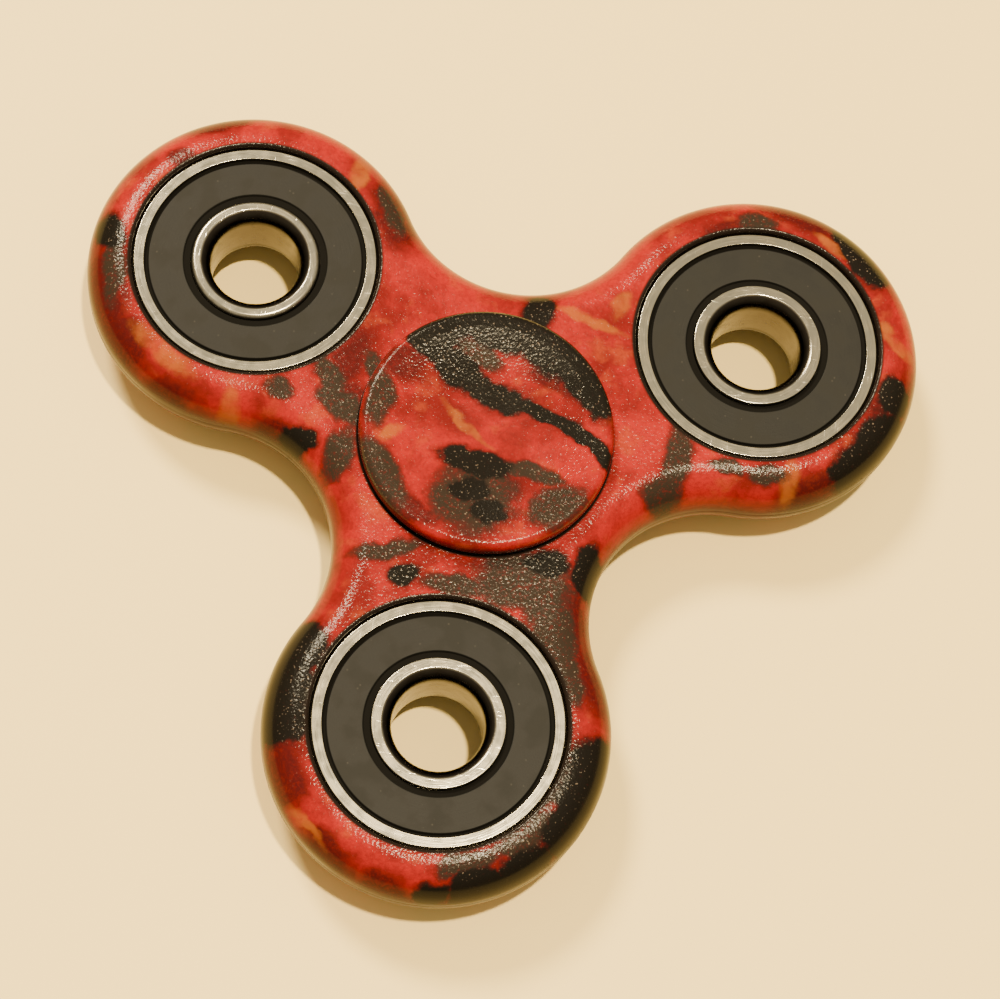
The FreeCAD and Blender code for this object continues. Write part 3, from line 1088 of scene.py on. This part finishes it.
@dataclass
class Bearing:
    """One ball bearing, about its own axis. Sizes are in millimetres and turns in degrees."""

    place: Place
    face_round: float = 0.1
    turn: float = 0.0
    inner_turn: float = 90.0
    pitch_radius: float = 7.5
    ball_radius: float = 1.9845
    ball_play: float = 0.01
    race_radius: float = 2.064
    shoulder_height: float = 0.53
    inner_step: float = 0.286
    outer_step: float = 0.936
    land_depth: float = 1.1
    ledge_depth: float = 0.95
    bead_height: float = 0.45
    bead_grip: float = 0.2
    mouth_width: float = 0.9
    mouth_depth: float = 1.2
    mouth_round: float = 0.12
    mouth_steps: int = 9
    race_steps: int = 16
    outer_corner: float = 0.25
    lip_gap: float = 0.05
    lip_width: float = 0.55
    lip_drop: float = 0.2
    lip_thickness: float = 0.35
    core_margin: float = 0.12
    core_thickness: float = 0.25
    gutter: float = 0.4
    inset: float = 0.25

    def __post_init__(self) -> None:
        """Works out the radii that follow from the sizes above."""
        reach = self.ball_radius + self.ball_play
        self.outer_race = self.pitch_radius + reach
        self.outer_shoulder = self.outer_race - self.shoulder_height
        self.recess = self.outer_shoulder + self.outer_step
        self.seat = self.recess + self.bead_grip
        self.inner_race = self.pitch_radius - reach
        self.inner_shoulder = self.inner_race + self.shoulder_height
        self.inner_land = self.inner_shoulder - self.inner_step

    def faces(self) -> float:
        """The height of the ring faces."""
        return top_of("centre_outer_ring")

    def both_ways(self, upper: list[Corner]) -> list[Corner]:
        """A profile's upper half, with the same below the middle."""
        return upper + flipped(upper[::-1])

    def race(self, depth_r: float, shoulder_r: float, upward: bool) -> list[Corner]:
        """The ball groove.

        Args:
            depth_r: the radius at its deepest.
            shoulder_r: the radius of the shoulders beside it.
            upward: whether it is followed from its lower edge to its upper one.

        Returns:
            The points between its two edges, edges left out.
        """
        outer = depth_r > shoulder_r
        pivot = depth_r - self.race_radius if outer else depth_r + self.race_radius
        reach = math.degrees(math.acos(abs(shoulder_r - pivot) / self.race_radius))
        middle = 0.0 if outer else 180.0
        ends = (-reach, reach) if upward == outer else (reach, -reach)
        return arc((pivot, 0.0), self.race_radius, middle + ends[0], middle + ends[1], self.race_steps)[1:-1]

    def race_edge(self, depth_r: float, shoulder_r: float) -> float:
        """The height of the ball groove's edge."""
        drop = self.race_radius - abs(depth_r - shoulder_r)
        return math.sqrt(self.race_radius**2 - drop**2)

    def outer_ring(self) -> bpy.types.Mesh:
        """The outer ring, with its race inside and a seat for a seal at each end.

        Returns:
            The mesh, in metres.
        """
        face = self.faces()
        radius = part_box("centre_outer_ring")[1].x / MM
        ledge = face - self.ledge_depth
        upper = [
            Corner(self.outer_shoulder, self.race_edge(self.outer_race, self.outer_shoulder)),
            Corner(self.outer_shoulder, ledge, 0.05),
            Corner(self.seat, ledge, 0.02),
            Corner(self.seat, ledge + self.bead_height, 0.02),
            Corner(self.recess, ledge + self.bead_height, 0.02),
            Corner(self.recess, face, 0.05),
            Corner(radius - self.outer_corner, face, 0.06),
            Corner(radius, face - self.outer_corner, 0.06),
        ]
        race = self.race(self.outer_race, self.outer_shoulder, True)
        return Turning(self.both_ways(upper) + race, WIDE_TURN).mesh(f"{self.place.value}_outer_ring")

    def inner_ring(self) -> bpy.types.Mesh:
        """The inner ring, with its race outside and a bore with rounded mouths.

        Returns:
            The mesh, in metres.
        """
        face = self.faces()
        bore = self.bore()
        mouth_r = (self.mouth_width**2 + self.mouth_depth**2) / (2 * self.mouth_width)
        sweep = math.degrees(math.asin(self.mouth_depth / mouth_r))
        pivot = (bore + mouth_r, face - self.mouth_depth)
        mouth = arc(pivot, mouth_r, 180.0, 180.0 - sweep, self.mouth_steps)
        mouth[-1] = Corner(mouth[-1].r, mouth[-1].z, self.mouth_round)
        upper = mouth + [
            Corner(self.inner_land, face, self.face_round),
            Corner(self.inner_land, face - self.land_depth, 0.05),
            Corner(self.inner_shoulder, face - self.land_depth, 0.05),
            Corner(self.inner_shoulder, self.race_edge(self.inner_race, self.inner_shoulder)),
        ]
        race = self.race(self.inner_race, self.inner_shoulder, False)
        lower = flipped(upper[::-1])
        return Turning(upper + race + lower).mesh(f"{self.place.value}_inner_ring")

    def bore(self) -> float:
        """The bore's radius, from the record's mounts."""
        mounts = {m["name"]: m for m in frame["record"]["mounts"]}
        return mounts["front_bore"]["dims"]["r_mm"]

    def seal(self, side: Side) -> bpy.types.Mesh:
        """A seal: a bead in the outer ring's groove, a flat field and a thin sunk lip.

        Args:
            side: which of the bearing's two seals.

        Returns:
            The mesh, in metres.
        """
        face = self.faces()
        ledge = face - self.ledge_depth
        field = face - self.inset
        lip = field - self.lip_drop
        lip_in = self.inner_land + self.lip_gap
        lip_out = lip_in + self.lip_width
        core_in, core_out = lip_out + self.core_margin, self.recess - self.core_margin
        field_out = self.recess - self.gutter
        bead = ledge + self.bead_height
        core_top = ledge + self.core_thickness
        slope = self.lip_drop / 2
        corners = [
            Corner(lip_in, lip - self.lip_thickness),
            Corner(core_in, lip - self.lip_thickness),
            Corner(core_in, core_top),
            Corner(core_out, core_top),
            Corner(core_out, ledge),
            Corner(self.seat, ledge),
            Corner(self.seat, bead),
            Corner(field_out + slope, bead, 0.06),
            Corner(field_out, field, 0.12),
            Corner(lip_out + slope, field, 0.1),
            Corner(lip_out, lip, 0.05),
            Corner(lip_in, lip, 0.06),
        ]
        if side is Side.LOWER:
            corners = flipped(corners)
        return Turning(corners).mesh(f"{self.place.value}_{side.name.lower()}_seal")

    def build(self, maker: Maker, steel: bpy.types.Material, rubber: bpy.types.Material) -> None:
        """Makes the bearing's two rings and two seals.

        Args:
            maker: what stands pieces in their place.
            steel: the rings' finish.
            rubber: the seals' finish.
        """
        name, body = self.place.value, self.place.inner_body()
        at, inner_at = (self.place, self.turn), (self.place, self.turn + self.inner_turn)
        maker.put(f"{name}_outer_ring", "frame", self.outer_ring(), steel, "ring_steel", *at)
        maker.put(f"{name}_inner_ring", body, self.inner_ring(), steel, "ring_steel", *inner_at)
        for side in Side:
            node = f"{name}_{side.name.lower()}_seal"
            maker.put(node, "frame", self.seal(side), rubber, "seal_rubber", *at)

    def dress_inside(self, sheet: bpy.types.Material, balls: bpy.types.Material) -> None:
        """Gives the pieces between the seals their finishes. Their CAD shapes are kept."""
        dress(f"{self.place.value}_balls", balls)
        for piece in ("cage_upper", "cage_lower", "cage_rivets", "upper_seal_core", "lower_seal_core"):
            dress(f"{self.place.value}_{piece}", sheet)


def dress(node: str, finish: bpy.types.Material) -> None:
    """Gives a CAD node a finish in each of its material slots.

    Args:
        node: the node's name.
        finish: its material.
    """
    piece = frame["nodes"][node]
    if not piece.material_slots:
        piece.data.materials.append(finish)
    for slot in piece.material_slots:
        slot.material = finish
    log.info("%s: kept from CAD, finish %s", node, finish.name)


# --- where the film's inks fell ------------------------------------------------------------------------

FRONT_INKS = inks_round(
    Place.FRONT,
    Black=[
        (-13.0, 4.4, 2.5, 2.3), (-13.6, 1.4, 2.7, 2.3), (-13.3, -1.8, 2.5, 2.3),
        (13.8, -1.8, 2.4, 2.0, 82.0), (13.2, -4.6, 2.6, 1.9, 68.0), (12.2, -7.2, 2.4, 1.6, 58.0),
        (9.4, -11.0, 2.6, 1.5, 42.0), (5.6, -13.4, 2.6, 1.3, 22.0), (1.7, -14.4, 1.6, 0.9, 5.0),
        (-5.1, 12.4, 1.0, 0.9), (10.9, 15.4, 1.3, 2.0), (7.2, 15.6, 1.6, 1.0),
    ],
    Brown=[
        (5.4, 13.6, 3.6, 2.4), (8.1, 10.2, 3.3, 1.7, -58.0), (10.0, 6.6, 2.8, 0.9, -65.0),
        (-7.0, 14.6, 2.5, 0.7, 20.0), (-0.2, 12.1, 2.6, 0.7), (11.0, -3.6, 2.4, 0.8, 72.0),
        (8.6, -8.4, 2.6, 0.9, 44.0), (4.2, -11.6, 2.4, 0.8, 20.0),
    ],
    Ember=[
        (-12.4, -6.0, 3.2, 1.7, -62.0), (-7.6, -12.6, 2.6, 1.4, -32.0), (12.8, 6.2, 3.4, 2.0, -62.0),
        (9.6, 11.6, 2.6, 1.6, -50.0), (-2.2, -14.8, 2.6, 1.4, -8.0), (10.8, -9.2, 5.0, 2.4, 48.0),
    ],
    Gold=[(-9.4, -10.4, 1.6, 0.35, -45.0), (-12.2, 9.2, 1.5, 0.4, 62.0)],
)
RIGHT_INKS = inks_round(
    Place.RIGHT,
    Black=[
        (8.2, 10.2, 3.1, 1.25, -42.0), (12.9, -2.8, 1.6, 1.3, 80.0), (12.0, -7.4, 2.8, 1.7, 60.0),
        (10.0, -10.0, 2.4, 1.4, 46.0),
    ],
    Brown=[
        (-6.6, -15.6, 1.6, 1.1, 10.0), (2.3, -12.3, 1.5, 0.8), (-5.5, -12.4, 2.6, 1.1, 90.0),
        (-1.4, -12.2, 1.2, 0.6), (-1.4, 12.0, 1.5, 0.8),
    ],
    Ember=[
        (-4.1, 10.8, 2.4, 0.9, 20.0), (12.8, -5.2, 5.2, 2.0, 72.0), (6.4, -13.0, 3.0, 1.4, 28.0),
        (3.2, 13.2, 3.6, 1.3, -14.0),
    ],
    Gold=[
        (5.3, 10.6, 1.4, 0.4, -30.0), (12.7, 2.3, 1.7, 0.5, -30.0), (11.6, 3.6, 0.7, 0.5),
        (4.2, -12.8, 1.8, 0.7, 84.0), (-12.6, 1.4, 1.2, 0.6, 60.0),
    ],
)
LEFT_INKS = inks_round(
    Place.LEFT,
    Black=[(-13.2, 0.3, 1.6, 1.4, 90.0), (6.6, -16.0, 1.4, 1.0)],
    Brown=[
        (-12.2, -3.4, 2.6, 0.9, 96.0), (8.5, -9.7, 2.1, 0.8, -50.0), (4.4, -12.1, 0.9, 0.7),
        (10.0, -12.6, 2.2, 1.0, -40.0), (11.2, 6.8, 2.0, 0.8, -58.0), (12.4, -9.0, 1.8, 0.7, -60.0),
    ],
    Ember=[
        (-12.9, -5.4, 3.4, 2.0, -66.0), (-10.4, -9.8, 3.2, 1.7, -44.0), (11.6, 6.4, 3.4, 1.9, -58.0),
        (-8.3, 8.5, 1.3, 0.9), (11.0, -12.4, 3.0, 1.6, -40.0), (-5.4, 13.0, 3.0, 1.0, 22.0),
        (-5.6, -14.2, 3.4, 1.3, -16.0), (4.2, -15.8, 2.0, 1.2, 10.0),
    ],
    Gold=[(-6.4, -10.3, 2.8, 0.7, -30.0), (0.2, -14.4, 1.6, 0.8, 90.0), (7.8, 9.9, 1.8, 0.6, 84.0)],
)
MIDDLE_INKS = inks_round(
    Place.CENTRE,
    Black=[(3.0, 12.6, 1.3, 1.7)],
    Brown=[(-12.4, -4.0, 2.0, 1.0, 80.0)],
    Ember=[(-13.2, 4.6, 3.0, 1.2, 70.0)],
    Gold=[(7.6, 12.4, 2.4, 0.4, -12.0)],
)
UPPER_CAP_INKS = inks_round(
    Place.CENTRE,
    Black=[
        (-4.3, 9.2, 3.0, 1.9, 22.0), (0.2, 9.5, 3.4, 2.0), (4.6, 8.2, 3.2, 1.9, -28.0),
        (8.1, 5.3, 3.2, 1.4, -45.0), (-6.0, 7.2, 2.4, 1.2, -35.0), (-3.6, 5.0, 2.6, 1.3, -34.0),
        (0.2, 3.3, 3.2, 0.95, -10.0), (4.5, 2.4, 2.8, 0.62, -14.0), (8.0, 0.9, 2.4, 0.55, -25.0),
        (10.3, -0.8, 1.8, 0.6, -50.0), (-0.7, -3.2, 2.8, 0.95), (-0.7, -5.6, 1.6, 1.0),
        (1.4, -7.8, 1.5, 1.1),
    ],
    Brown=[
        (-0.1, -6.5, 3.1, 2.9), (4.6, -3.3, 2.3, 0.6, -6.0), (7.2, -6.1, 2.3, 1.5, 36.0),
        (-9.7, 1.2, 2.1, 1.0, 90.0), (-8.3, -5.8, 3.3, 1.2, -50.0), (-1.6, 6.5, 1.8, 1.0, -20.0),
    ],
    Ember=[
        (-7.9, 4.8, 1.8, 1.4), (2.4, -5.6, 1.4, 2.0), (5.4, 5.4, 2.6, 0.8, -24.0),
        (-5.0, -8.4, 2.0, 0.9, -30.0),
    ],
    Gold=[(-2.0, 0.2, 2.6, 0.3, -35.0), (-7.9, -1.7, 1.0, 0.4, 40.0)],
)


# --- the picture -----------------------------------------------------------------------------------------


@dataclass(frozen=True)
class Lamp:
    """A soft studio lamp that points at the object. Sizes are in metres."""

    name: str
    place: tuple[float, float, float]
    across: float
    watts: float
    colour: Colour

    def build(self) -> None:
        """Hangs the lamp."""
        light = bpy.data.lights.new(self.name, "AREA")
        light.shape = "DISK"
        light.size = self.across
        light.energy = self.watts
        light.color = self.colour
        holder = bpy.data.objects.new(self.name, light)
        holder.location = self.place
        holder.rotation_mode = "QUATERNION"
        holder.rotation_quaternion = Vector(self.place).to_track_quat("Z", "Y")
        bpy.context.scene.collection.objects.link(holder)


@dataclass
class Studio:
    """The floor, the lamps and the camera. The camera's places are in millimetres."""

    floor_colour: Colour = (0.89, 0.675, 0.25)
    floor_size: float = 6.0
    sky_colour: Colour = (1.0, 0.84, 0.56)
    horizon_strength: float = 0.25
    zenith_strength: float = 0.9
    camera_place: tuple[float, float, float] = (-4.3, -90.5, 234.5)
    camera_target: tuple[float, float, float] = (2.25, -4.27, 0.0)
    camera_heading: float = 8.5
    camera_lens: float = 101.7
    lamps: tuple[Lamp, ...] = (
        Lamp("ceiling_lamp", (0.17, 0.02, 1.5), 0.08, 44.0, (1.0, 0.81, 0.50)),
        Lamp("window", (-0.62, 0.80, 1.2), 0.35, 47.0, (1.0, 0.84, 0.56)),
    )

    def floor(self) -> None:
        """Lays the pale floor that the lower cap stands on. It is clear from below."""
        level = cad_box[0].z
        half = self.floor_size / 2
        corners = [(-half, -half, level), (half, -half, level), (half, half, level), (-half, half, level)]
        mesh = bpy.data.meshes.new("floor")
        mesh.from_pydata(corners, [], [(0, 1, 2, 3)])
        material, net, shader = new_material("pale_table")
        cloud = net.noise(net.here(), 90.0, 3.0).outputs["Fac"]
        warmer = tuple(c * f for c, f in zip(self.floor_colour, (0.97, 0.96, 0.94)))
        net.feed(shader, Base_Color=net.blend(cloud, self.floor_colour, warmer))
        shader.inputs["Roughness"].default_value = 0.55
        clear = net.node("ShaderNodeBsdfTransparent")
        behind = net.node("ShaderNodeNewGeometry").outputs["Backfacing"]
        both = net.node("ShaderNodeMixShader", {0: behind, 1: shader.outputs[0], 2: clear.outputs[0]})
        net.feed(material.node_tree.nodes["Material Output"], Surface=both.outputs[0])
        mesh.materials.append(material)
        plane = bpy.data.objects.new("floor", mesh)
        bpy.context.scene.collection.objects.link(plane)

    def sky(self) -> None:
        """Sets the light of the room, brighter overhead than at the walls."""
        world = bpy.data.worlds.new("room")
        world.use_nodes = True
        net = Net(world.node_tree)
        backdrop = world.node_tree.nodes["Background"]
        backdrop.inputs["Color"].default_value = (*self.sky_colour, 1.0)
        heading = net.node("ShaderNodeTexCoord").outputs["Generated"]
        strengths = (self.horizon_strength, self.zenith_strength)
        net.feed(backdrop, Strength=net.step(net.height(heading), 0.1, 0.85, *strengths))
        bpy.context.scene.world = world

    def camera(self) -> None:
        """Sets up the camera, its upright leaning by its heading from +Y."""
        data = bpy.data.cameras.new("camera")
        data.lens = self.camera_lens
        data.clip_start = 0.01
        place = Vector(self.camera_place) * MM
        ahead = (Vector(self.camera_target) * MM - place).normalized()
        heading = math.radians(self.camera_heading)
        right = ahead.cross(Vector((-math.sin(heading), math.cos(heading), 0.0))).normalized()
        axes = Matrix((right, right.cross(ahead), -ahead)).transposed()
        holder = bpy.data.objects.new("camera", data)
        holder.matrix_world = Matrix.Translation(place) @ axes.to_4x4()
        bpy.context.scene.collection.objects.link(holder)
        bpy.context.scene.camera = holder

    def build(self) -> None:
        """Sets up everything that isn't the object."""
        self.floor()
        self.sky()
        self.camera()
        for lamp in self.lamps:
            lamp.build()


def main() -> None:
    """Builds the studio and every piece of the spinner."""
    logging.basicConfig(level=logging.INFO, format="%(message)s")
    Studio().build()
    effects = Effects()
    maker = Maker()

    inks = FRONT_INKS + RIGHT_INKS + LEFT_INKS + MIDDLE_INKS
    body_top = top_of("spinner_body")
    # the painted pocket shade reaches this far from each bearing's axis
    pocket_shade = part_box("centre_outer_ring")[1].x / MM + 0.3
    body_film = Film("body_film", inks, body_top, grain_from=2.9, grain_to=3.8, pocket_shade_radius=pocket_shade)
    maker.put("spinner_body", "frame", MouldedBody().mesh(), body_film.material(effects), "marbled_plastic")

    top = top_of("upper_cap")
    # the cap's rim gets the same painted flank shade between these heights
    rim = {"grain_from": top - 0.9, "grain_to": top - 0.15, "flank_from": top - 1.3, "flank_to": top - 0.3}
    upper_film = Film("upper_cap_film", UPPER_CAP_INKS, top, offset=(31.0, 9.0, 4.0), **rim)
    FingerCap().build(maker, Side.UPPER, upper_film.material(effects))
    lower_film = Film("lower_cap_film", (), top, offset=(-23.0, 17.0, 40.0), **rim)
    FingerCap().build(maker, Side.LOWER, lower_film.material(effects))

    pale = (0.80, 0.76, 0.64)
    ground = Steel("ring_steel", (0.38, 0.36, 0.30), (0.20, 0.18, 0.14), pale,
                   roughness=0.17, pitch=0.10, depth=0.006, scratching=0.8)
    pressed = Steel("sheet_steel", (0.50, 0.48, 0.44), (0.34, 0.32, 0.29), pale,
                    roughness=0.34, pitch=0.22, depth=0.006, scratching=0.5)
    polished = Steel("ball_steel", (0.70, 0.69, 0.66), (0.60, 0.58, 0.54), pale,
                     roughness=0.10, pitch=0.30, depth=0.001, scratching=0.2)
    nitrile = Rubber("seal_rubber", (0.0090, 0.0090, 0.0088), (0.0135, 0.0130, 0.0118))
    ring, sheet, balls, rubber = (f.material(effects) for f in (ground, pressed, polished, nitrile))
    bearings = (
        Bearing(Place.CENTRE, turn=90.0),
        Bearing(Place.RIGHT, turn=180.0),
        Bearing(Place.LEFT, face_round=0.42, turn=270.0),
        Bearing(Place.FRONT, turn=0.0),
    )
    for bearing in bearings:
        bearing.build(maker, ring, rubber)
        bearing.dress_inside(sheet, balls)


if __name__ == "__main__":
    main()
